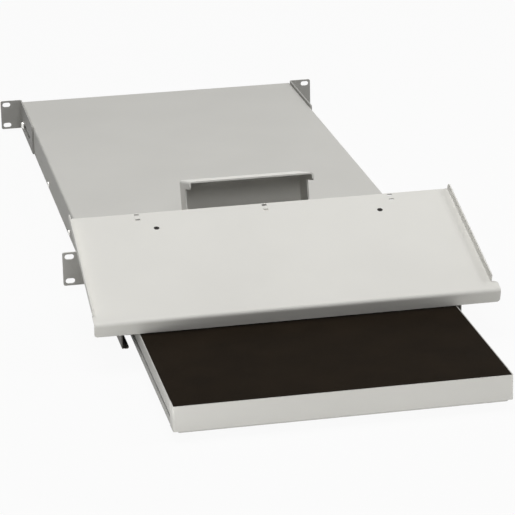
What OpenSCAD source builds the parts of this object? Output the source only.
// Rack keyboard drawer: a low housing for a 19 inch rack, a pull-out platform with a
// mat on telescopic ball slides, and a sloping keyboard shelf on a folded sheet post.
// X runs to the right, Y to the back of the rack and Z up. The origin is the centre of
// the four front rack slots, in the plane where the front ears bear on the rack.
// The drawer stands fully out, as it does in use.

/* [Rack ears] */
// Width over the rack ears
rack_w = 482.6; // [470:0.1:490]
// Height of the rack ears
ear_h = 43.6; // [41:0.1:46]
// Sheet thickness of the front ears
ear_t = 2; // [1.5:0.1:3]
// Distance from an ear's outer edge to the middle of its slots
slot_edge = 8.75; // [7.5:0.05:10]
// Distance between the upper and lower rack slots
slot_pitch_z = 31.75; // [28:0.05:33]
// Length of a rack slot
slot_l = 12; // [8:0.5:14]
// Height of a rack slot
slot_w = 7; // [5:0.1:8]
// Corner radius of the rack ears
ear_corner_r = 2.5; // [1:0.5:4]
// Distance that an ear reaches out past the housing
ear_reach = 32.3; // [31.3:0.1:36.3]
// Length of an ear's leaf along the housing
ear_leaf_l = 52; // [40:1:80]
// Distance from the rack's front plane to the ears' first screws
ear_screw_front = 16; // [12:0.5:20]
// Distance from the end of an ear's leaf to its second screws
ear_screw_end = 14; // [10:0.5:18]

/* [Housing] */
// Depth of the housing
housing_d = 740; // [700:1:800]
// Height of the housing
housing_h = 42; // [41:0.1:46]
// Height of the housing's top face over the middle of the ears
housing_top = 18.8; // [17.5:0.1:20]
// Sheet thickness of the housing
sheet_t = 1.5; // [1:0.1:2]
// Inner radius of the housing's bends
bend_r = 1.2; // [0.6:0.1:2]
// Width of the flanges folded in under the walls
base_flange_w = 14; // [10:0.5:20]
// Width of the bar that ties the walls together under the front
tie_bar_w = 44; // [30:1:60]
// Width of the cable opening in the rear panel
cable_opening_w = 120; // [80:1:125]
// Height of the cable opening in the rear panel
cable_opening_h = 18; // [12:0.5:24]

/* [Rear brackets] */
// Distance between the front and rear mounting planes
rack_depth = 744; // [742:1:780]
// Sheet thickness of a rear bracket
bracket_t = 2; // [1.5:0.1:3]
// Length of a rear bracket along the housing
bracket_l = 152; // [136:1:180]
// Length of the adjusting slot in a rear bracket
adjust_slot_l = 82; // [60:1:90]
// Height of the adjusting slot's middle
adjust_slot_z = -7.5; // [-10:0.5:0]
// Distance from the rear mounting plane to the clamp screw
clamp_inset = 38; // [34:0.5:45]
// Diameter of the clamp screws
clamp_screw_d = 5; // [4:0.5:6]

/* [Ball slides] */
// Height of the outer rail
rail_h = 36; // [34:0.5:37]
// Height of the slides' middle over the middle of the ears
rail_z = -3; // [-4:0.5:-2.5]
// Wall thickness of the rails
rail_t = 1.4; // [1.2:0.1:1.5]
// Closed thickness of a slide
slide_t = 12.7; // [12:0.1:14]
// Diameter of the balls
ball_d = 3; // [2.8:0.1:3.2]
// Clearance between a ball and its track
ball_gap = 0.2; // [0.1:0.05:0.3]
// Depth to which a ball sits in each track
track_sink = 0.5; // [0.3:0.05:0.6]
// Distance that the drawer travels
travel = 518; // [480:1:520]
// Length of the outer rail
outer_rail_l = 540; // [520:1:600]
// Length of the middle rail
middle_rail_l = 500; // [490:1:512]
// Length of the inner rail
inner_rail_l = 254; // [252:1:256]
// Length of the ball cages in the outer rails
outer_cage_l = 200; // [120:1:210]
// Length of the ball cages in the middle rails
inner_cage_l = 118; // [80:1:140]
// Distance between the balls of one row
ball_pitch = 22; // [16:1:30]
// Distance from the housing's front edge to the rails
rail_inset = 4; // [2:0.5:6]
// Distance from the outer rail's front end to its first screw
rail_screw_front = 54; // [40:1:70]
// Distance from the outer rail's front end to its middle screw
rail_screw_middle = 182; // [150:1:220]
// Distance from the outer rail's front end to its last screw
rail_screw_back = 407; // [360:1:440]
// Distance from the middle rail's front end to the inner rail's, with the drawer out
inner_set_back = 34; // [30:1:36]
// Distance from an end of the inner rail to its nearest screw
inner_screw_margin = 24; // [16:1:40]

/* [Drawer] */
// Thickness of the spacers between the drawer and its rails
spacer_t = 5.6; // [4.6:0.1:6.6]
// Depth of the drawer
drawer_d = 558; // [550:1:565]
// Height of the drawer's front
front_h = 28.9; // [28:0.1:30]
// Height of the drawer's top over the middle of the ears
drawer_top = 13; // [12.8:0.1:13.2]
// Sheet thickness of the drawer's base and front
drawer_t = 1.2; // [1:0.05:1.25]
// Sheet thickness of the platform
platform_t = 1; // [0.8:0.1:1.2]
// Height of the platform's side skirts
skirt_h = 16; // [14:0.1:16.2]
// Height of the groove between a skirt and the base
groove_h = 4.4; // [3:0.1:4.6]
// Depth of the groove between a skirt and the base
groove_inset = 6; // [4:0.5:8]
// Length of the front's side returns
front_return_l = 20; // [16:0.5:30]
// Depth of the base pan under the front's lower edge
pan_drop = 2.3; // [2.2:0.1:3]
// Distance from the drawer's side to the base pan
pan_inset = 5.5; // [4:0.5:8]
// Thickness of the mat
mat_t = 2; // [1.5:0.1:2.5]
// Clearance around the mat
mat_gap = 0.1; // [0.05:0.05:0.3]
// Height of the spacers between the drawer and its rails
spacer_h = 7.4; // [6:0.1:7.5]
// Diameter of the screws in the inner rails
inner_screw_d = 3; // [2.5:0.5:3]

/* [Keyboard shelf] */
// Distance from the front strip's right end to the right side lip
right_lip_inset = 6.5; // [5.5:0.5:9]
// Depth of the shelf along its slope
shelf_d = 218.5; // [205:0.5:219]
// Slope of the shelf
shelf_tilt = 16.5; // [14:0.1:16.6]
// Sheet thickness of the shelf
shelf_t = 1.5; // [1.2:0.1:2]
// Height of the side lips
side_lip_h = 9.5; // [6:0.5:12]
// Distance from the back edge to the front ends of the side lips
side_lip_l = 200.5; // [180:0.5:202]
// Depth of the front lip
front_lip_h = 17.8; // [14:0.1:18]
// Radius of the bend at the front lip
front_lip_r = 3; // [2:0.25:4]
// Radius of the front lip's lower corners
lip_corner_r = 4; // [3:0.5:8]
// Height of the shelf's back edge
shelf_back_z = 93.1; // [93:0.1:96]
// Distance from the front mounting plane forward to the shelf's back edge
shelf_back_y = 87.2; // [84:0.1:92]
// Distance between neighbouring pairs of cable slots
tie_pitch = 158.5; // [120:0.5:170]
// Width of a cable slot
tie_slot_w = 6; // [4:0.5:8]
// Height of a cable slot
tie_slot_h = 3.6; // [3:0.1:4.5]
// Distance from the back edge to the first row of cable slots
tie_row = 3.5; // [3.2:0.1:6]
// Distance between the two rows of cable slots
tie_row_pitch = 10.2; // [8:0.1:12]
// Distance between the two shelf screws
shelf_screw_pitch = 277.6; // [240:0.5:290]
// Distance from the back edge to the shelf screws
shelf_screw_row = 34.2; // [28:0.1:38]

/* [Post and hinge] */
// Width over the post's side walls
post_w = 159; // [140:1:180]
// Tilt of the post
post_tilt = 15; // [12:0.5:16]
// Sheet thickness of the post
post_t = 2; // [1.5:0.1:2.5]
// Height of the post's rear top edge
post_back_z = 84; // [80:0.5:88]
// Distance from the front mounting plane back to the post's rear top edge
post_back_y = 65; // [60:0.5:70]
// Length of the post's top plate
post_top_l = 80; // [70:0.5:84]
// Depth of the post's full side walls
post_wall_d = 44; // [38:0.5:48]
// Height of the skirts beside the post's top plate
post_skirt_h = 10; // [8:0.5:12]
// Diameter of the hinge pins
hinge_pin_d = 6; // [5:0.1:6.4]
// Distance from the shelf's back edge to the hinge axis
hinge_back = 4; // [3:0.25:5]
// Distance from the shelf's back edge down to the hinge axis
hinge_drop = 9.8; // [9.4:0.1:11]
// Thickness of the hinge washers
hinge_washer_t = 1.6; // [1:0.1:2]
// Sheet thickness of the hinge bracket under the shelf
hinge_plate_t = 2; // [1.5:0.1:2]

/* [Fasteners] */
// Diameter of the small screws
screw_d = 4; // [3:0.5:4]
// Clearance of a screw in its hole, on the radius
hole_gap = 0.2; // [0.1:0.05:0.4]
// Running clearance of the hinge pins, on the radius
pin_gap = 0.05; // [0.02:0.01:0.1]
// Clearance between sheets that slide on each other
slide_gap = 0.1; // [0.05:0.05:0.3]

/* [Hidden] */
$fn = 48;

powder_grey = [0.74, 0.73, 0.7];
zinc = [0.72, 0.73, 0.74];
dark_zinc = [0.25, 0.24, 0.22];
mat_black = [0.15, 0.13, 0.11];

// A cut runs this far past the faces that it goes through
past = 1;
// Number of short lines in a bend or a rounded corner
bend_steps = 5;

// Housing
slot_pitch_x = rack_w - 2 * slot_edge;
housing_w = rack_w - 2 * ear_reach;
wall_x = housing_w / 2;
inner_wall_x = wall_x - sheet_t;
housing_bottom = housing_top - housing_h;
housing_front_y = 1;
ceiling_z = housing_top - sheet_t;
floor_z = housing_bottom + sheet_t;
rear_panel_flange = 16;
rear_panel_inset = 4;
rear_panel_y = housing_front_y + housing_d - rear_panel_inset;
tie_bar_y = housing_front_y + 8;
tie_bar_margin = 2;
tie_bar_r = 4;
tie_screw_inset = base_flange_w / 2;
rear_screw_y = rear_panel_y - rear_panel_flange / 2;
tie_screw_y = [tie_bar_y + tie_bar_w / 4, tie_bar_y + tie_bar_w * 3 / 4];

// Screws: the head of a small pan screw, its height, and the recess for the driver
small_r = screw_d / 2;
small_head_r = screw_d * 0.95;
small_head_h = screw_d * 0.55;
nut_h = screw_d * 0.8;
nut_r = screw_d;

// Ears and brackets
ear_leaf_x = wall_x;
ear_screw_y = [ear_screw_front, ear_leaf_l - ear_screw_end];
ear_screw_z = ear_h / 4;
bracket_x = wall_x + slide_gap;
bracket_front_y = rack_depth - bracket_l;
clamp_y = rack_depth - clamp_inset;
adjust_slot_w = clamp_screw_d + 2.6;
// The clamp screw stands this far from the middle of the slot's rear end
slot_end_gap = 0.8;
adjust_rear_y = clamp_y + adjust_slot_w / 2 + slot_end_gap;
adjust_front_y = adjust_rear_y - adjust_slot_l;
clamp_washer_r = clamp_screw_d * 1.2;
clamp_washer_t = 1;
clamp_head_r = clamp_screw_d * 0.95;
clamp_head_h = clamp_screw_d * 0.6;
clamp_nut_r = clamp_screw_d * 0.92;
clamp_nut_h = clamp_screw_d * 0.8;

// Slides, in a section whose u runs from the wall to the drawer and whose v runs up
ball_r = ball_d / 2;
track_gap = ball_d - 2 * track_sink + 2 * ball_gap;
track_r = ball_r + ball_gap;
outer_flange_u = slide_t - 1.7;
middle_web_u = rail_t + 1;
middle_flange_u = slide_t - 1.9;
outer_ball_u = 5;
inner_ball_u = 6.9;
outer_cage_w = 5;
inner_cage_w = 4.4;
outer_ball_v = rail_h / 2 - rail_t - track_gap / 2;
middle_half_h = rail_h / 2 - rail_t - track_gap;
inner_ball_v = middle_half_h - rail_t - track_gap / 2;
inner_half_h = middle_half_h - rail_t - track_gap;
inner_flange_u = inner_ball_u - 2;
rail_lip = 1.4;
cage_t = 0.8;
rail_y = housing_front_y + rail_inset;
half_travel = travel / 2;
inner_rail_front = rail_y - half_travel + inner_set_back;
outer_overlap = middle_rail_l - half_travel;
outer_cage_y = rail_y + (outer_overlap - outer_cage_l) / 2;
// The inner cage has to stay inside both rails over the whole travel
inner_cage_low = inner_rail_front + travel - 1.5 * half_travel;
inner_cage_high = inner_rail_front + inner_rail_l;
inner_cage_y = (inner_cage_low + inner_cage_high - inner_cage_l) / 2;
rail_screw_y = [rail_y + rail_screw_front, rail_y + rail_screw_middle, rail_y + rail_screw_back];
rail_screw_drop = 11;
inner_screw_y = [
    inner_rail_front + inner_screw_margin, inner_rail_front + inner_rail_l / 2,
    inner_rail_front + inner_rail_l - inner_screw_margin
];
inner_screw_r = inner_screw_d / 2;
inner_head_r = inner_screw_d * 0.83;
// The head stands just clear of the inner rail's lower flange
inner_screw_z = rail_z - inner_half_h + rail_t + inner_head_r + slide_gap;

// Drawer
drawer_half = inner_wall_x - slide_t - spacer_t;
drawer_w = 2 * drawer_half;
drawer_front_y = -ear_t - travel;
drawer_back_y = drawer_front_y + drawer_d;
side_front_y = drawer_front_y + front_return_l;
front_bottom = drawer_top - front_h;
skirt_bottom = drawer_top - skirt_h;
band_top = skirt_bottom - groove_h;
platform_z = drawer_top - mat_t;
pan_z = front_bottom - pan_drop;
drawer_bend_r = 0.4;
spacer_z = band_top + 1.4 - spacer_h / 2;
front_stud_x = [for (k = [-1.5 : 1.5]) k * drawer_w / 3.6];
front_stud_z = (front_bottom + band_top) / 2;
rim_x = drawer_half - drawer_t;
front_edge_r = 0.8;
base_back_y = drawer_back_y - platform_t - slide_gap;

// Shelf, in its own frame: the back edge of its top face is the origin and -Y runs down the slope
front_half = rack_w / 2;
right_lip_x = front_half - right_lip_inset;
lip_rear_r = side_lip_h * 0.7;
lip_front_r = 1.5;
strip_corner_r = 5;
shelf_head_r = screw_d * 0.85;
shelf_sink = shelf_head_r - small_r;
hinge_plate_back = 6;
hinge_plate_front = 52;
hinge_plate_flange = 12;
hinge_plate_margin = 13;
lug_front = 38;
lug_r = 6;
// Where the lug's straight edges leave the round end at the hinge, as angles
lug_top_a = 37;
lug_low_a = -60;
lug_rest_back = 1;
lug_rest_front = 15;
lug_corner_r = 2;
hinge_at = [0, -shelf_back_y + hinge_back, shelf_back_z - hinge_drop];

// Post, in its own frame: the rear top edge is the origin and -Y runs forward
post_half = post_w / 2;
post_bend_r = 1.5;
function post_point(forward, down) = [
    post_back_y - forward * cos(post_tilt) - down * sin(post_tilt),
    post_back_z + forward * sin(post_tilt) - down * cos(post_tilt)
];
foot_w = 20;
foot_screw_x = post_half + 12;
foot_screw_y = [12, 34];
arm_boss_r = 5.4;
arm_start = 38;
arm_corner_r = 6;
arm_foot_y = 4;
arm_foot_z = housing_top + 8;
// Corners of the arm's outline from the hinge axis: towards the back, then up
arm_shoulder = [13, -9];
arm_cheek = [4.5, -3];
arm_heel = [4, -23];
hood_reach = 220;
skirt_corner_r = 3;
foot_front_y = 5;
foot_back_y = 42;
stop_z = hinge_at[2] - 11;
stop_gap = 0.2;
stop_tab_l = 9;
stop_tab_front = 16;
stop_tab_back = 3;
arm_toe = [-stop_tab_front, -5];
pin_fit = 0.02;
lug_x = post_half - post_t - hinge_washer_t - slide_gap;
pin_r = hinge_pin_d / 2;
pin_head_r = hinge_pin_d * 0.85;
pin_head_h = 2;

// Direction and bend helpers for the folded sheets
function unit(v) = v / norm(v);
function left_of(d) = [-d[1], d[0]];
function turned(v, a) = [v[0] * cos(a) - v[1] * sin(a), v[0] * sin(a) + v[1] * cos(a)];
function bend_angle(a, b) = atan2(a[0] * b[1] - a[1] * b[0], a * b);
function backwards(list) = [for (i = [len(list) - 1 : -1 : 0]) list[i]];

// One face of a folded strip that follows a path of sharp corners. Side 0 is the path's
// own face and side 1 is the face at distance t to its left.
function strip_face(path, t, r, side) = [
    for (i = [0 : len(path) - 1])
        let (
            d0 = unit(i == 0 ? path[1] - path[0] : path[i] - path[i - 1]),
            d1 = i == len(path) - 1 ? d0 : unit(path[i + 1] - path[i]),
            a = bend_angle(d0, d1),
            s = sign(a),
            path_r = s > 0 ? r + t : r,
            face_r = s > 0 ? r + t * (1 - side) : r + t * side,
            centre = path[i] - d0 * path_r * tan(abs(a) / 2) + left_of(d0) * s * path_r
        )
        each (abs(a) < 0.01
            ? [path[i] + left_of(d0) * side * t]
            : [for (k = [0 : bend_steps]) centre - turned(left_of(d0), a * k / bend_steps) * s * face_r])
];
function strip(path, t, r) = concat(strip_face(path, t, r, 0), backwards(strip_face(path, t, r, 1)));

// An outline with rounded corners: each corner is [x, y, radius]
function rounded(corners) = [
    for (i = [0 : len(corners) - 1])
        let (
            n = len(corners),
            here = [corners[i][0], corners[i][1]],
            before = [corners[(i + n - 1) % n][0], corners[(i + n - 1) % n][1]],
            after = [corners[(i + 1) % n][0], corners[(i + 1) % n][1]],
            r = corners[i][2],
            d0 = unit(here - before),
            d1 = unit(after - here),
            a = bend_angle(d0, d1),
            s = sign(a),
            centre = here - d0 * r * tan(abs(a) / 2) + left_of(d0) * s * r
        )
        each (r == 0 || abs(a) < 0.01
            ? [here]
            : [for (k = [0 : bend_steps]) centre - turned(left_of(d0), a * k / bend_steps) * s * r])
];

// A flat outline in the XZ plane, as thick as t along +Y from y
module across_y(y, t) {
    translate([0, y + t, 0]) rotate([90, 0, 0]) linear_extrude(t) children();
}

// A flat outline in the YZ plane, as thick as t along +X from x
module across_x(x, t) {
    translate([x, 0, 0]) rotate([90, 0, 90]) linear_extrude(t) children();
}

// A slot outline with round ends, centred, with its length along the first axis
module slot_outline(l, w) {
    union() {
        square([l - w, w], center = true);
        for (side = [-1, 1]) translate([side * (l - w) / 2, 0]) circle(d = w);
    }
}

// A round bar along X, Y or Z from the given point
module bar_x(from, l, r) {
    translate(from) rotate([0, 90, 0]) cylinder(h = l, r = r);
}
module bar_y(from, l, r) {
    translate(from) rotate([-90, 0, 0]) cylinder(h = l, r = r);
}

// A pan-head screw that points down from the origin, with a cross recess in its head
module pan_screw(r, head_r, head_h, l) {
    recess_w = head_r * 0.3;
    difference() {
        union() {
            translate([0, 0, -l]) cylinder(h = l + head_h / 2, r = r);
            rotate_extrude() polygon(rounded([
                [0, 0, 0], [head_r, 0, 0], [head_r, head_h, head_h * 0.7], [0, head_h, 0]
            ]));
        }
        for (a = [0, 90]) rotate(a)
            translate([-head_r * 0.55, -recess_w / 2, head_h * 0.45]) cube([head_r * 1.1, recess_w, head_h]);
    }
}

// A flat-head screw that points down from the origin, its head flush with it
module flat_screw(r, head_r, l) {
    head_h = head_r - r;
    recess_w = head_r * 0.28;
    difference() {
        union() {
            translate([0, 0, -l]) cylinder(h = l - head_h / 2, r = r);
            rotate_extrude() polygon([[0, 0], [head_r, 0], [r, -head_h], [0, -head_h]]);
        }
        for (a = [0, 90]) rotate(a)
            translate([-head_r * 0.5, -recess_w / 2, -head_h * 0.7]) cube([head_r, recess_w, head_h]);
    }
}

// A six-sided nut on the origin, its hole just wider than the screw
module nut(r, h, hole_r) {
    difference() {
        cylinder(h = h, r = r, $fn = 6);
        translate([0, 0, -past]) cylinder(h = h + 2 * past, r = hole_r);
    }
}

module mirrored(side) {
    if (side < 0) mirror([1, 0, 0]) children();
    else children();
}

// Housing

module top_cover() {
    color(powder_grey) difference() {
        across_y(housing_front_y, housing_d) polygon(strip([
            [wall_x - base_flange_w, housing_bottom], [wall_x, housing_bottom],
            [wall_x, housing_top], [-wall_x, housing_top],
            [-wall_x, housing_bottom], [-wall_x + base_flange_w, housing_bottom]
        ], sheet_t, bend_r));
        for (side = [-1, 1]) mirrored(side) {
            for (y = ear_screw_y) for (z = [-ear_screw_z, ear_screw_z])
                bar_x([inner_wall_x - past, y, z], sheet_t + 2 * past, small_r + hole_gap);
            for (y = rail_screw_y)
                bar_x([inner_wall_x - past, y, rail_z - rail_screw_drop], sheet_t + 2 * past, small_r + hole_gap);
            bar_x([inner_wall_x - past, clamp_y, adjust_slot_z], sheet_t + 2 * past, clamp_screw_d / 2 + hole_gap);
            for (y = concat(tie_screw_y, rear_screw_y))
                translate([wall_x - tie_screw_inset, y, housing_bottom - past])
                    cylinder(h = sheet_t + 2 * past, r = small_r + hole_gap);
            for (y = foot_screw_y)
                translate([foot_screw_x, y, ceiling_z - past])
                    cylinder(h = sheet_t + 2 * past, r = small_r + hole_gap);
        }
    }
}

// The panel that closes the back, folded forward along its top and bottom
module rear_panel() {
    half = inner_wall_x - 1;
    color(powder_grey) difference() {
        across_x(-half, 2 * half) polygon(strip([
            [rear_panel_y - rear_panel_flange, floor_z], [rear_panel_y, floor_z],
            [rear_panel_y, ceiling_z], [rear_panel_y - rear_panel_flange, ceiling_z]
        ], sheet_t, bend_r));
        across_y(rear_panel_y - sheet_t - past, sheet_t + 2 * past)
            translate([0, (floor_z + ceiling_z) / 2]) slot_outline(cable_opening_w, cable_opening_h);
        for (side = [-1, 1]) translate([side * (wall_x - tie_screw_inset), rear_screw_y, floor_z - past])
            cylinder(h = sheet_t + 2 * past, r = small_r + pin_gap);
    }
}

module rear_panel_screws() {
    color(zinc) for (side = [-1, 1])
        translate([side * (wall_x - tie_screw_inset), rear_screw_y, housing_bottom])
            mirror([0, 0, 1]) pan_screw(small_r, small_head_r, small_head_h, 2 * sheet_t + 2);
}

// The bar under the front of the housing that holds its two walls apart
module front_tie_bar() {
    half = wall_x - tie_bar_margin;
    color(powder_grey) translate([0, 0, housing_bottom - sheet_t]) linear_extrude(sheet_t) difference() {
        polygon(rounded([
            [-half, tie_bar_y, tie_bar_r], [half, tie_bar_y, tie_bar_r],
            [half, tie_bar_y + tie_bar_w, tie_bar_r], [-half, tie_bar_y + tie_bar_w, tie_bar_r]
        ]));
        for (side = [-1, 1]) for (y = tie_screw_y)
            translate([side * (wall_x - tie_screw_inset), y]) circle(r = small_r + pin_gap);
    }
}

module tie_bar_screws() {
    color(zinc) for (side = [-1, 1]) for (y = tie_screw_y)
        translate([side * (wall_x - tie_screw_inset), y, housing_bottom - sheet_t])
            mirror([0, 0, 1]) pan_screw(small_r, small_head_r, small_head_h, 2 * sheet_t);
}

// Front ears

module front_ear() {
    color(powder_grey) difference() {
        intersection() {
            translate([0, 0, -ear_h / 2]) linear_extrude(ear_h) polygon(strip([
                [ear_leaf_x, ear_leaf_l], [ear_leaf_x, -ear_t], [rack_w / 2, -ear_t]
            ], ear_t, bend_r));
            across_y(-ear_t - past, ear_leaf_l + ear_t + 2 * past) polygon(rounded([
                [ear_leaf_x - past, -ear_h / 2, 0], [rack_w / 2, -ear_h / 2, ear_corner_r],
                [rack_w / 2, ear_h / 2, ear_corner_r], [ear_leaf_x - past, ear_h / 2, 0]
            ]));
            across_x(ear_leaf_x - past, rack_w) polygon(rounded([
                [-ear_t - past, -ear_h / 2, 0], [ear_leaf_l, -ear_h / 2, 2 * ear_corner_r],
                [ear_leaf_l, ear_h / 2, 2 * ear_corner_r], [-ear_t - past, ear_h / 2, 0]
            ]));
        }
        for (side = [-1, 1]) across_y(-ear_t - past, ear_t + 2 * past)
            translate([slot_pitch_x / 2, side * slot_pitch_z / 2]) slot_outline(slot_l, slot_w);
        for (y = ear_screw_y) for (z = [-ear_screw_z, ear_screw_z])
            bar_x([ear_leaf_x - past, y, z], ear_t + 2 * past, small_r + hole_gap);
    }
}
module front_ear_right() { front_ear(); }
module front_ear_left() { mirror([1, 0, 0]) front_ear(); }

module ear_screws() {
    color(zinc) for (side = [-1, 1]) mirrored(side)
        for (y = ear_screw_y) for (z = [-ear_screw_z, ear_screw_z])
            translate([ear_leaf_x + ear_t, y, z]) rotate([0, 90, 0])
                pan_screw(small_r, small_head_r, small_head_h, ear_t + sheet_t);
}

// Rear brackets

module rear_bracket() {
    outer_x = bracket_x + bracket_t;
    color(powder_grey) difference() {
        intersection() {
            translate([0, 0, -ear_h / 2]) linear_extrude(ear_h) polygon(strip([
                [rack_w / 2, rack_depth], [bracket_x, rack_depth], [bracket_x, bracket_front_y]
            ], bracket_t, bend_r));
            across_y(bracket_front_y - past, bracket_l + 2 * past) polygon(rounded([
                [bracket_x - past, -ear_h / 2, 0], [rack_w / 2, -ear_h / 2, ear_corner_r],
                [rack_w / 2, ear_h / 2, ear_corner_r], [bracket_x - past, ear_h / 2, 0]
            ]));
            across_x(bracket_x - past, rack_w) polygon(rounded([
                [bracket_front_y, -ear_h / 2, ear_corner_r], [rack_depth + past, -ear_h / 2, 0],
                [rack_depth + past, ear_h / 2, 0], [bracket_front_y, ear_h / 2, ear_corner_r]
            ]));
        }
        for (side = [-1, 1]) across_y(rack_depth - bracket_t - past, bracket_t + 2 * past)
            translate([slot_pitch_x / 2, side * slot_pitch_z / 2]) slot_outline(slot_l, slot_w);
        across_x(bracket_x - past, bracket_t + 2 * past)
            translate([(adjust_front_y + adjust_rear_y) / 2, adjust_slot_z])
                slot_outline(adjust_slot_l, adjust_slot_w);
    }
}
module rear_bracket_right() { rear_bracket(); }
module rear_bracket_left() { mirror([1, 0, 0]) rear_bracket(); }

module clamp_screws() {
    grip = clamp_washer_t + bracket_t + 2 * slide_gap + sheet_t + clamp_nut_h;
    color(zinc) for (side = [-1, 1]) mirrored(side)
        translate([bracket_x + bracket_t + slide_gap + clamp_washer_t, clamp_y, adjust_slot_z]) rotate([0, 90, 0])
            pan_screw(clamp_screw_d / 2, clamp_head_r, clamp_head_h, grip + 1);
}

module clamp_washers() {
    color(zinc) for (side = [-1, 1]) mirrored(side)
        difference() {
            bar_x([bracket_x + bracket_t + slide_gap, clamp_y, adjust_slot_z], clamp_washer_t, clamp_washer_r);
            bar_x([wall_x, clamp_y, adjust_slot_z], ear_leaf_l, clamp_screw_d / 2 + hole_gap / 2);
        }
}

module clamp_nuts() {
    color(zinc) for (side = [-1, 1]) mirrored(side)
        translate([inner_wall_x - clamp_nut_h, clamp_y, adjust_slot_z]) rotate([0, 90, 0])
            nut(clamp_nut_r, clamp_nut_h, clamp_screw_d / 2 + pin_gap);
}

// Ball slides: each section is drawn with u along +X from the wall and is mirrored into place

module slide_place(side, y, l) {
    mirrored(side) translate([inner_wall_x, y, rail_z]) rotate([90, 0, 180]) linear_extrude(l) children();
}

module outer_section() {
    half = rail_h / 2;
    difference() {
        polygon(strip([
            [outer_flange_u, half - rail_t - rail_lip], [outer_flange_u, half], [0, half],
            [0, -half], [outer_flange_u, -half], [outer_flange_u, -half + rail_t + rail_lip]
        ], rail_t, 0.3));
        for (s = [-1, 1]) translate([outer_ball_u, s * outer_ball_v]) circle(r = track_r);
    }
}

module middle_section() {
    half = middle_half_h;
    difference() {
        polygon(strip([
            [middle_flange_u, half - rail_t - rail_lip], [middle_flange_u, half], [middle_web_u, half],
            [middle_web_u, -half], [middle_flange_u, -half], [middle_flange_u, -half + rail_t + rail_lip]
        ], rail_t, 0.3));
        for (s = [-1, 1]) {
            translate([outer_ball_u, s * outer_ball_v]) circle(r = track_r);
            translate([inner_ball_u, s * inner_ball_v]) circle(r = track_r);
        }
    }
}

module inner_section() {
    half = inner_half_h;
    difference() {
        polygon(strip([
            [inner_flange_u, -half], [slide_t, -half], [slide_t, half], [inner_flange_u, half]
        ], rail_t, 0.6));
        for (s = [-1, 1]) translate([inner_ball_u, s * inner_ball_v]) circle(r = track_r);
    }
}

module outer_rail(side) {
    color(zinc) difference() {
        slide_place(side, rail_y, outer_rail_l) outer_section();
        mirrored(side) for (y = rail_screw_y)
            bar_x([inner_wall_x - rail_t - past, y, rail_z - rail_screw_drop], rail_t + 2 * past, small_r + pin_gap);
    }
}
module outer_rail_left() { outer_rail(-1); }
module outer_rail_right() { outer_rail(1); }

module outer_rail_screws() {
    color(zinc) for (side = [-1, 1]) mirrored(side) for (y = rail_screw_y)
        translate([wall_x, y, rail_z - rail_screw_drop]) rotate([0, 90, 0])
            pan_screw(small_r, small_head_r, small_head_h, sheet_t + rail_t + 0.4);
}

module middle_rail(side) {
    color(dark_zinc) slide_place(side, rail_y - half_travel, middle_rail_l) middle_section();
}
module middle_rail_left() { middle_rail(-1); }
module middle_rail_right() { middle_rail(1); }

// A ball cage is two thin strips, above and below, with a window for each ball
function ball_places(y, l) = [
    let (n = floor((l - ball_d) / ball_pitch) + 1)
    for (i = [0 : n - 1]) y + l / 2 + (i - (n - 1) / 2) * ball_pitch
];

module cage(side, y, l, u, v, width) {
    color(zinc) difference() {
        slide_place(side, y, l) for (s = [-1, 1])
            translate([u, s * v]) square([width, cage_t], center = true);
        mirrored(side) for (by = ball_places(y, l)) for (s = [-1, 1])
            translate([inner_wall_x - u, by, rail_z + s * v - cage_t])
                cylinder(h = 2 * cage_t, r = ball_r + ball_gap / 2);
    }
}

module balls(side, y, l, u, v) {
    color(zinc) mirrored(side) for (by = ball_places(y, l)) for (s = [-1, 1])
        translate([inner_wall_x - u, by, rail_z + s * v]) sphere(r = ball_r);
}

module outer_cage_left() { cage(-1, outer_cage_y, outer_cage_l, outer_ball_u, outer_ball_v, outer_cage_w); }
module outer_cage_right() { cage(1, outer_cage_y, outer_cage_l, outer_ball_u, outer_ball_v, outer_cage_w); }
module outer_balls_left() { balls(-1, outer_cage_y, outer_cage_l, outer_ball_u, outer_ball_v); }
module outer_balls_right() { balls(1, outer_cage_y, outer_cage_l, outer_ball_u, outer_ball_v); }
module inner_cage_left() { cage(-1, inner_cage_y, inner_cage_l, inner_ball_u, inner_ball_v, inner_cage_w); }
module inner_cage_right() { cage(1, inner_cage_y, inner_cage_l, inner_ball_u, inner_ball_v, inner_cage_w); }
module inner_balls_left() { balls(-1, inner_cage_y, inner_cage_l, inner_ball_u, inner_ball_v); }
module inner_balls_right() { balls(1, inner_cage_y, inner_cage_l, inner_ball_u, inner_ball_v); }

module inner_rail(side) {
    color(zinc) difference() {
        slide_place(side, inner_rail_front, inner_rail_l) inner_section();
        mirrored(side) for (y = inner_screw_y)
            bar_x([drawer_half, y, inner_screw_z], spacer_t + rail_t + 2 * past, inner_screw_r + hole_gap);
    }
}
module inner_rail_left() { inner_rail(-1); }
module inner_rail_right() { inner_rail(1); }

// A bar that fills the space between the drawer's side and its rail
module rail_spacer(side) {
    color(zinc) mirrored(side) difference() {
        translate([drawer_half, inner_rail_front, spacer_z - spacer_h / 2])
            cube([spacer_t, inner_rail_l, spacer_h]);
        for (y = inner_screw_y)
            bar_x([drawer_half - past, y, inner_screw_z], spacer_t + 2 * past, inner_screw_r + hole_gap);
    }
}
module rail_spacer_left() { rail_spacer(-1); }
module rail_spacer_right() { rail_spacer(1); }

module inner_rail_screws() {
    color(zinc) for (side = [-1, 1]) mirrored(side) for (y = inner_screw_y)
        translate([drawer_half + spacer_t + rail_t, y, inner_screw_z]) rotate([0, 90, 0])
            pan_screw(inner_screw_r, inner_head_r, inner_head_r * 0.7, spacer_t + rail_t + drawer_t + 1);
}

// Drawer

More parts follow.
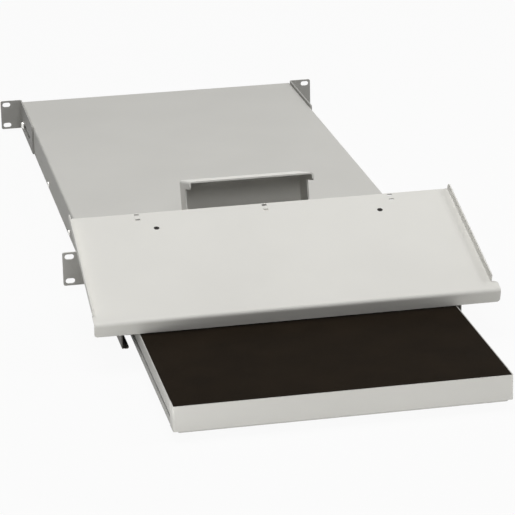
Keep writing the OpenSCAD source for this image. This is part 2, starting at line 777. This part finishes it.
// The base pan: its walls stand flush with the drawer's sides, step in at the groove
// and carry the platform
module drawer_base() {
    inner_x = drawer_half - groove_inset;
    pan_x = drawer_half - pan_inset;
    top_z = platform_z - platform_t;
    path = [
        [-inner_x, top_z], [-inner_x, band_top], [-drawer_half, band_top], [-drawer_half, front_bottom],
        [-pan_x, front_bottom], [-pan_x, pan_z], [pan_x, pan_z], [pan_x, front_bottom],
        [drawer_half, front_bottom], [drawer_half, band_top], [inner_x, band_top], [inner_x, top_z]
    ];
    color(powder_grey) difference() {
        union() {
            across_y(side_front_y, base_back_y - side_front_y)
                polygon(strip(path, drawer_t, drawer_bend_r));
            // The plate that closes the back
            across_y(base_back_y - drawer_t, drawer_t)
                polygon(strip_face(path, drawer_t, drawer_bend_r, 0));
            // The tray runs on behind the front and is folded up against it
            across_y(drawer_front_y + 2 * drawer_t, front_return_l) polygon(strip([
                [-pan_x, front_bottom], [-pan_x, pan_z], [pan_x, pan_z], [pan_x, front_bottom]
            ], drawer_t, drawer_bend_r));
            across_x(-pan_x + 2 * drawer_t, 2 * pan_x - 4 * drawer_t) polygon(strip([
                [drawer_front_y + drawer_t, band_top], [drawer_front_y + drawer_t, pan_z],
                [side_front_y + past, pan_z]
            ], drawer_t, drawer_bend_r));
        }
        for (side = [-1, 1]) mirrored(side) for (y = inner_screw_y)
            bar_x([drawer_half - drawer_t - past, y, inner_screw_z], drawer_t + 2 * past, inner_screw_r + pin_gap);
        for (x = front_stud_x) bar_y([x, drawer_front_y, front_stud_z], 3 * drawer_t, small_r + hole_gap);
    }
}

// The platform under the mat: its sides stand as high as the mat and hang down as skirts,
// and its floor runs forward between the front's side returns
module drawer_platform() {
    tongue_x = rim_x - slide_gap;
    floor_x = drawer_half - platform_t / 2;
    floor_front_y = drawer_front_y + drawer_t;
    color(powder_grey) union() {
        for (side = [-1, 1]) mirrored(side)
            translate([drawer_half - platform_t, side_front_y, skirt_bottom])
                cube([platform_t, drawer_back_y - side_front_y, skirt_h]);
        translate([0, 0, platform_z - platform_t]) linear_extrude(platform_t) polygon(rounded([
            [-tongue_x, floor_front_y, bend_r], [tongue_x, floor_front_y, bend_r],
            [tongue_x, side_front_y, 0], [floor_x, side_front_y, 0], [floor_x, drawer_back_y - platform_t, 0],
            [-floor_x, drawer_back_y - platform_t, 0], [-floor_x, side_front_y, 0], [-tongue_x, side_front_y, 0]
        ]));
        translate([-floor_x, drawer_back_y - platform_t, skirt_bottom])
            cube([2 * floor_x, platform_t, platform_z - skirt_bottom]);
    }
}

// The front, with its ends wrapped round the sides, and studs on its back for the nuts
// that hold the base
module drawer_front() {
    color(powder_grey) union() {
        intersection() {
            translate([0, 0, front_bottom]) linear_extrude(front_h) polygon(strip([
                [-drawer_half, side_front_y], [-drawer_half, drawer_front_y],
                [drawer_half, drawer_front_y], [drawer_half, side_front_y]
            ], drawer_t, bend_r));
            across_x(-drawer_half - past, drawer_w + 2 * past) polygon(rounded([
                [drawer_front_y, front_bottom, 0], [side_front_y + past, front_bottom, 0],
                [side_front_y + past, drawer_top, 0], [drawer_front_y, drawer_top, front_edge_r]
            ]));
        }
        for (x = front_stud_x)
            bar_y([x, drawer_front_y + drawer_t / 2, front_stud_z], drawer_t * 1.5 + nut_h + 1, small_r);
    }
}

module drawer_front_nuts() {
    color(zinc) for (x = front_stud_x)
        translate([x, drawer_front_y + 2 * drawer_t, front_stud_z]) rotate([-90, 0, 0])
            nut(nut_r, nut_h, small_r + pin_gap);
}

module mat() {
    half = rim_x - mat_gap;
    front_y = drawer_front_y + drawer_t + mat_gap;
    back_y = drawer_back_y - mat_gap;
    color(mat_black) translate([0, 0, platform_z]) linear_extrude(mat_t) polygon(rounded([
        [-half, front_y, bend_r], [half, front_y, bend_r], [half, back_y, 0], [-half, back_y, 0]
    ]));
}

// Keyboard shelf

module on_shelf() {
    translate([0, -shelf_back_y, shelf_back_z]) rotate([shelf_tilt, 0, 0]) children();
}

// A point given in the shelf's side view, turned into the shelf's own frame
function to_shelf(y, z) = [
    (y + shelf_back_y) * cos(shelf_tilt) + (z - shelf_back_z) * sin(shelf_tilt),
    -(y + shelf_back_y) * sin(shelf_tilt) + (z - shelf_back_z) * cos(shelf_tilt)
];

// The left side lip is flush with the end of the front strip and the right one is set in
module keyboard_shelf() {
    flat_inset = shelf_t + bend_r;
    color(powder_grey) on_shelf() difference() {
        union() {
            // The plate with its two side lips
            intersection() {
                across_y(-side_lip_l, side_lip_l) polygon(strip([
                    [-front_half, side_lip_h], [-front_half, -shelf_t],
                    [right_lip_x, -shelf_t], [right_lip_x, side_lip_h]
                ], shelf_t, bend_r));
                across_x(-front_half - past, rack_w + 2 * past) polygon(rounded([
                    [-side_lip_l, -2 * shelf_t, 0], [0, -2 * shelf_t, 0],
                    [0, side_lip_h, lip_rear_r], [-side_lip_l, side_lip_h, lip_front_r]
                ]));
            }
            // The strip along the front with its lip folded down
            intersection() {
                across_x(-front_half, rack_w) polygon(strip([
                    [-side_lip_l, 0], [-shelf_d, 0], [-shelf_d, -front_lip_h]
                ], shelf_t, front_lip_r));
                translate([0, 0, -front_lip_h - past]) linear_extrude(front_lip_h + 2 * past) polygon(rounded([
                    [-front_half, -shelf_d - past, 0], [front_half, -shelf_d - past, 0],
                    [front_half, -side_lip_l, strip_corner_r], [-front_half, -side_lip_l, 0]
                ]));
                across_y(-shelf_d - past, shelf_d) polygon(rounded([
                    [-front_half, -front_lip_h, lip_corner_r], [front_half, -front_lip_h, lip_corner_r],
                    [front_half, past, 0], [-front_half, past, 0]
                ]));
            }
            translate([-front_half + flat_inset, -side_lip_l - past, -shelf_t])
                cube([front_half + right_lip_x - 2 * flat_inset, 2 * past, shelf_t]);
        }
        for (x = [-tie_pitch, 0, tie_pitch]) for (row = [0, 1])
            translate([x - tie_slot_w / 2, -tie_row - row * tie_row_pitch - tie_slot_h / 2, -shelf_t - past])
                cube([tie_slot_w, tie_slot_h, shelf_t + 2 * past]);
        for (side = [-1, 1]) translate([side * shelf_screw_pitch / 2, -shelf_screw_row, 0]) {
            translate([0, 0, -shelf_t - past]) cylinder(h = shelf_t + 2 * past, r = small_r + hole_gap);
            translate([0, 0, -shelf_sink]) cylinder(h = shelf_sink + past, r1 = shelf_head_r - shelf_sink + hole_gap,
                r2 = shelf_head_r + past + hole_gap);
        }
    }
}

// The bracket screwed under the shelf, with the two lugs that turn on the hinge pins
module shelf_hinge_bracket() {
    top = -shelf_t;
    axis = to_shelf(hinge_at[1], hinge_at[2]);
    half = shelf_screw_pitch / 2 + hinge_plate_margin;
    color(powder_grey) on_shelf() difference() {
        union() {
            intersection() {
                across_x(-half, 2 * half) polygon(strip([
                    [-hinge_plate_back, top], [-hinge_plate_front, top],
                    [-hinge_plate_front, top - hinge_plate_flange]
                ], hinge_plate_t, bend_r));
                translate([0, 0, top - hinge_plate_flange - past])
                    linear_extrude(hinge_plate_flange + 2 * past) polygon(rounded([
                        [-half, -hinge_plate_front - past, 0], [half, -hinge_plate_front - past, 0],
                        [half, -hinge_plate_back, strip_corner_r], [-half, -hinge_plate_back, strip_corner_r]
                    ]));
            }
            for (side = [-1, 1]) mirrored(side) across_x(lug_x - hinge_plate_t, hinge_plate_t) union() {
                translate(axis) circle(r = lug_r);
                polygon(rounded([
                    [-lug_front, top - hinge_plate_t / 2, 0], [-hinge_plate_back, top - hinge_plate_t / 2, 0],
                    [axis[0] + lug_r * cos(lug_top_a), axis[1] + lug_r * sin(lug_top_a), 0],
                    [axis[0] + lug_r * cos(lug_low_a), axis[1] + lug_r * sin(lug_low_a), 0],
                    concat(to_shelf(hinge_at[1] - lug_rest_back, stop_z + stop_gap), 0),
                    concat(to_shelf(hinge_at[1] - lug_rest_front, stop_z + stop_gap), lug_corner_r),
                    [-lug_front, top - hinge_plate_t * 2, lug_corner_r]
                ]));
            }
        }
        for (side = [-1, 1]) {
            mirrored(side)
                bar_x([lug_x - hinge_plate_t - past, axis[0], axis[1]], hinge_plate_t + 2 * past, pin_r + pin_gap);
            translate([side * shelf_screw_pitch / 2, -shelf_screw_row, top - hinge_plate_t - past])
                cylinder(h = hinge_plate_t + 2 * past, r = small_r + hole_gap);
        }
    }
}

module shelf_screws() {
    color(dark_zinc) on_shelf() for (side = [-1, 1])
        translate([side * shelf_screw_pitch / 2, -shelf_screw_row, 0])
            flat_screw(small_r, shelf_head_r, shelf_t + hinge_plate_t + nut_h + 0.5);
}

module shelf_nuts() {
    color(zinc) on_shelf() for (side = [-1, 1])
        translate([side * shelf_screw_pitch / 2, -shelf_screw_row, -shelf_t - hinge_plate_t - nut_h])
            nut(nut_r, nut_h, small_r + pin_gap);
}

// Post

module on_post() {
    translate([0, post_back_y, post_back_z]) rotate([-post_tilt, 0, 0]) children();
}

// The space inside the folded hood's faces, drawn in by inset, with bends of radius r.
// It is open far down and far forward.
module hood_block(inset, r) {
    half = post_half - inset;
    on_post() intersection() {
        across_y(-hood_reach, hood_reach) polygon(rounded([
            [-half, -hood_reach, 0], [half, -hood_reach, 0], [half, -inset, r], [-half, -inset, r]
        ]));
        translate([0, 0, -hood_reach]) linear_extrude(hood_reach) polygon(rounded([
            [-half, -hood_reach, 0], [half, -hood_reach, 0], [half, -inset, r], [-half, -inset, r]
        ]));
        across_x(-half, 2 * half) polygon(rounded([
            [-hood_reach, -hood_reach, 0], [-inset, -hood_reach, 0], [-inset, -inset, r], [-hood_reach, -inset, 0]
        ]));
    }
}

// The side view of the post: top plate and skirt, side wall, and the arm that runs forward
// under the shelf to the hinge pin and the stop tab
module post_outline() {
    foot_z = housing_top + post_t + post_bend_r;
    hinge = [hinge_at[1], hinge_at[2]];
    union() {
        translate(hinge) circle(r = arm_boss_r);
        polygon(rounded([
            concat(post_point(0, 0), 0),
            concat(post_point(post_top_l, 0), 0),
            concat(post_point(post_top_l, post_skirt_h), skirt_corner_r),
            concat(post_point(post_wall_d, post_skirt_h), post_bend_r),
            concat(post_point(post_wall_d, arm_start), arm_corner_r),
            concat(hinge + arm_shoulder, arm_corner_r),
            concat(hinge + arm_cheek, 0),
            concat(hinge - arm_cheek, 0),
            concat(hinge + arm_toe, lug_corner_r),
            [hinge_at[1] - stop_tab_front, stop_z - post_t, 0],
            [hinge_at[1] - stop_tab_back, stop_z - post_t, lug_corner_r],
            concat(hinge + arm_heel, arm_corner_r),
            [arm_foot_y, arm_foot_z, arm_corner_r],
            [arm_foot_y, foot_z, 0],
            [foot_back_y, foot_z, 0],
            [foot_back_y, housing_top, 0],
            concat(post_point(0, (post_back_z - housing_top) / cos(post_tilt)), 0)
        ]));
    }
}

module support_post() {
    color(powder_grey) difference() {
        union() {
            difference() {
                intersection() {
                    hood_block(0, post_bend_r + post_t);
                    across_x(-post_half, post_w) post_outline();
                }
                hood_block(post_t, post_bend_r);
            }
            for (side = [-1, 1]) mirrored(side) {
                // The tab that stops the shelf's lug
                across_y(hinge_at[1] - stop_tab_front, stop_tab_front - stop_tab_back) polygon(strip([
                    [post_half - stop_tab_l, stop_z - post_t], [post_half, stop_z - post_t],
                    [post_half, stop_z + post_t]
                ], post_t, post_bend_r));
                // The foot on the housing
                intersection() {
                    across_y(foot_front_y, foot_back_y - foot_front_y) polygon(strip([
                        [post_half - post_t, housing_top + 2 * post_t + post_bend_r],
                        [post_half - post_t, housing_top], [post_half + foot_w, housing_top]
                    ], post_t, post_bend_r));
                    translate([0, 0, housing_top - past]) linear_extrude(foot_w) polygon(rounded([
                        [0, foot_front_y, 0], [post_half + foot_w, foot_front_y, strip_corner_r],
                        [post_half + foot_w, foot_back_y, strip_corner_r], [0, foot_back_y, 0]
                    ]));
                }
            }
        }
        for (side = [-1, 1]) mirrored(side) {
            bar_x([post_half - post_t - past, hinge_at[1], hinge_at[2]], post_t + 2 * past, pin_r + pin_fit);
            for (y = foot_screw_y) translate([foot_screw_x, y, housing_top - past])
                cylinder(h = post_t + 2 * past, r = small_r + hole_gap);
        }
    }
}

module post_screws() {
    color(zinc) for (side = [-1, 1]) for (y = foot_screw_y)
        translate([side * foot_screw_x, y, housing_top + post_t])
            pan_screw(small_r, small_head_r, small_head_h, post_t + sheet_t + 1);
}

// Shouldered pins that are riveted in the arms and carry the shelf's lugs
module hinge_pins() {
    pin_end = lug_x - hinge_plate_t - slide_gap;
    color(zinc) for (side = [-1, 1]) mirrored(side) union() {
        bar_x([pin_end - pin_head_h / 2, hinge_at[1], hinge_at[2]], post_half - pin_end + pin_head_h, pin_r);
        bar_x([post_half, hinge_at[1], hinge_at[2]], pin_head_h, pin_head_r);
        bar_x([pin_end - pin_head_h, hinge_at[1], hinge_at[2]], pin_head_h, pin_head_r);
    }
}

module hinge_washers() {
    color("white") for (side = [-1, 1]) mirrored(side) difference() {
        bar_x([post_half - post_t - hinge_washer_t, hinge_at[1], hinge_at[2]], hinge_washer_t, arm_boss_r);
        bar_x([lug_x, hinge_at[1], hinge_at[2]], 2 * hinge_washer_t, pin_r + pin_gap);
    }
}

top_cover();
rear_panel();
rear_panel_screws();
front_tie_bar();
tie_bar_screws();
front_ear_left();
front_ear_right();
ear_screws();
rear_bracket_left();
rear_bracket_right();
clamp_screws();
clamp_washers();
clamp_nuts();
outer_rail_left();
outer_rail_right();
outer_rail_screws();
middle_rail_left();
middle_rail_right();
outer_cage_left();
outer_cage_right();
outer_balls_left();
outer_balls_right();
inner_cage_left();
inner_cage_right();
inner_balls_left();
inner_balls_right();
inner_rail_left();
inner_rail_right();
rail_spacer_left();
rail_spacer_right();
inner_rail_screws();
drawer_base();
drawer_platform();
drawer_front();
drawer_front_nuts();
mat();
keyboard_shelf();
shelf_hinge_bracket();
shelf_screws();
shelf_nuts();
support_post();
post_screws();
hinge_pins();
hinge_washers();
